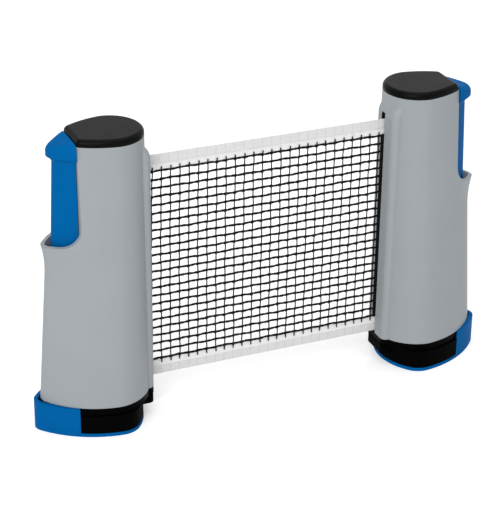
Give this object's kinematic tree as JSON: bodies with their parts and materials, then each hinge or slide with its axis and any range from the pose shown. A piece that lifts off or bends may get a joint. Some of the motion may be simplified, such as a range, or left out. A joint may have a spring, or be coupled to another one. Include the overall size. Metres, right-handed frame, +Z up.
{
  "type": "table tennis net clamp",
  "caption": "Roll-up table tennis net between clip-on posts; squeezing each post's thumb head against its lip opens a spring clamp for the table edge.",
  "frame": {"origin": "bottom centre of the whole part's bounding box, on the floor under the middle of the net", "axes": "+X along the net from the left post to the right one, +Y away from the camera across the net, +Z up"},
  "size_m": [0.3118, 0.0594, 0.1954],
  "materials": {
    "grey_shell": "satin moulded plastic",
    "charcoal_cap": "satin moulded plastic",
    "black_foot": "satin moulded plastic",
    "black_rubber": "matt rubber",
    "blue_plastic": "satin moulded plastic",
    "steel": "zinc plated",
    "spring_steel": "bare spring steel",
    "reel_plastic": "moulded plastic",
    "bush_plastic": "acetal",
    "wound_net": "wound nylon net",
    "net_cord": "black nylon",
    "tape": "woven white tape"
  },
  "bodies": {
    "left_post": {"left_housing": "grey_shell", "left_top_cap": "charcoal_cap", "left_foot_cover": "black_foot", "left_foot_pad": "black_rubber", "left_foot_screws": "steel", "left_reel_arbor": "steel", "left_clamp_spring": "steel", "left_mainspring": "spring_steel", "left_net_tail": "wound_net", "net_cords": "net_cord", "net_threads": "net_cord", "top_tape": "tape", "bottom_tape": "tape"},
    "left_clamp": {"left_handle": "blue_plastic", "left_jaw": "blue_plastic", "left_jaw_pad": "black_rubber", "left_jaw_screws": "steel"},
    "left_spool": {"left_reel": "reel_plastic", "left_reel_bushes": "bush_plastic", "left_net_roll": "wound_net"},
    "right_post": {"right_housing": "grey_shell", "right_top_cap": "charcoal_cap", "right_foot_cover": "black_foot", "right_foot_pad": "black_rubber", "right_foot_screws": "steel", "right_reel_arbor": "steel", "right_clamp_spring": "steel", "right_mainspring": "spring_steel", "right_net_tail": "wound_net"},
    "right_clamp": {"right_handle": "blue_plastic", "right_jaw": "blue_plastic", "right_jaw_pad": "black_rubber", "right_jaw_screws": "steel"},
    "right_spool": {"right_reel": "reel_plastic", "right_reel_bushes": "bush_plastic", "right_net_roll": "wound_net"}
  },
  "joints": [
    {"name": "net_pull", "type": "slide", "parent": "left_post", "child": "right_post", "axis": [1, 0, 0], "range_m": [-0.16, 1.64], "deforming": ["net_cords", "net_threads", "top_tape", "bottom_tape"]},
    {"name": "left_clamp_slide", "type": "slide", "parent": "left_post", "child": "left_clamp", "axis": [0, 0, -1], "range_m": [0, 0.05], "stiffness_N_per_m": 300, "springref_m": -0.05, "deforming": ["left_clamp_spring"]},
    {"name": "left_reel_turn", "type": "hinge", "parent": "left_post", "child": "left_spool", "pos_m": [-0.1065, 0, 0.0973], "axis": [0, 0, 1], "range_deg": [-4000, 400], "deforming": ["left_mainspring"]},
    {"name": "right_clamp_slide", "type": "slide", "parent": "right_post", "child": "right_clamp", "axis": [0, 0, -1], "range_m": [0, 0.05], "stiffness_N_per_m": 300, "springref_m": -0.05, "deforming": ["right_clamp_spring"]},
    {"name": "right_reel_turn", "type": "hinge", "parent": "right_post", "child": "right_spool", "pos_m": [0.1065, 0, 0.0973], "axis": [0, 0, 1], "range_deg": [-400, 4000], "deforming": ["right_mainspring"]}
  ],
  "couplings": [
    {"joint": "left_reel_turn", "follows": "net_pull", "rad_per_m": -41.7},
    {"joint": "right_reel_turn", "follows": "net_pull", "rad_per_m": 41.7}
  ]
}
